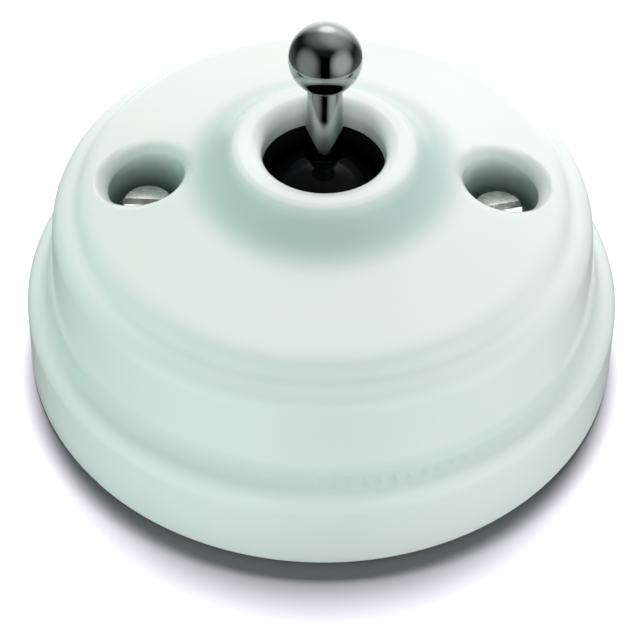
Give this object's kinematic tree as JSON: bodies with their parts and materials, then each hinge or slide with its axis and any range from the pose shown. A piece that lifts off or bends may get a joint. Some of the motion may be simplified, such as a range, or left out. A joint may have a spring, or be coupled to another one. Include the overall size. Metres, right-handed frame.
{
  "type": "toggle light switch",
  "caption": "Round stepped surface switch: glazed porcelain cover with two recessed screws, ball-tipped lever in a rolled rim, and a snap mechanism on a porcelain base.",
  "frame": {"origin": "centre of the back face, where the switch lies on the wall", "axes": "+Z out of the wall along the cover's axis, X through the two cover screws, lever swings along Y and leans to +Y at rest"},
  "size_m": [0.0648, 0.0648, 0.0384],
  "materials": {
    "porcelain": "smooth white glaze with a cool cast, fired clear and glossy",
    "bisque_porcelain": "white porcelain, unglazed on its back",
    "black_nickel": "polished black-nickel plate on turned brass",
    "polished_moulding": "polished black phenolic moulding",
    "black_moulding": "black phenolic moulding",
    "nickel": "nickel-plated, turned and slotted",
    "spring_steel": "drawn steel",
    "brass": "pressed and drawn brass",
    "silver": "fine silver contact rivets",
    "fibre": "dark vulcanised fibre"
  },
  "bodies": {
    "housing": {"cover": "porcelain", "base": "bisque_porcelain", "cover_screws": "nickel", "cover_screw_washers": "fibre", "cover_bushes": "brass", "mechanism_body": "black_moulding", "mechanism_screws": "nickel", "mechanism_washers": "spring_steel", "mechanism_bushes": "brass", "top_plate": "black_moulding", "top_plate_screws": "nickel", "pivot_pins": "spring_steel", "common_strip": "brass", "upper_contact_strip": "brass", "lower_contact_strip": "brass", "fixed_contacts": "silver", "strip_rivets": "brass", "terminal_blocks": "brass", "terminal_screws": "nickel"},
    "lever": {"lever": "black_nickel", "dolly": "polished_moulding", "toggle_spring": "spring_steel"},
    "plunger": {"plunger": "spring_steel"},
    "rocker": {"contact_rocker": "brass", "moving_contacts": "silver"}
  },
  "joints": [
    {"name": "lever_swing", "type": "hinge", "parent": "housing", "child": "lever", "pos_m": [0, 0, 0.0164], "axis": [1, 0, 0], "range_deg": [0, 36]},
    {"name": "rocker_tilt", "type": "hinge", "parent": "housing", "child": "rocker", "pos_m": [0, 0, 0.0111], "axis": [1, 0, 0], "range_deg": [-16, 0]},
    {"name": "plunger_slide", "type": "slide", "parent": "lever", "child": "plunger", "axis": [0, 0.309, 0.9511], "range_m": [0, 0.001], "stiffness_N_per_m": 1500, "deforming": ["toggle_spring"]}
  ],
  "couplings": [
    {"joint": "rocker_tilt", "follows": "lever_swing", "ratio": -0.4444}
  ]
}
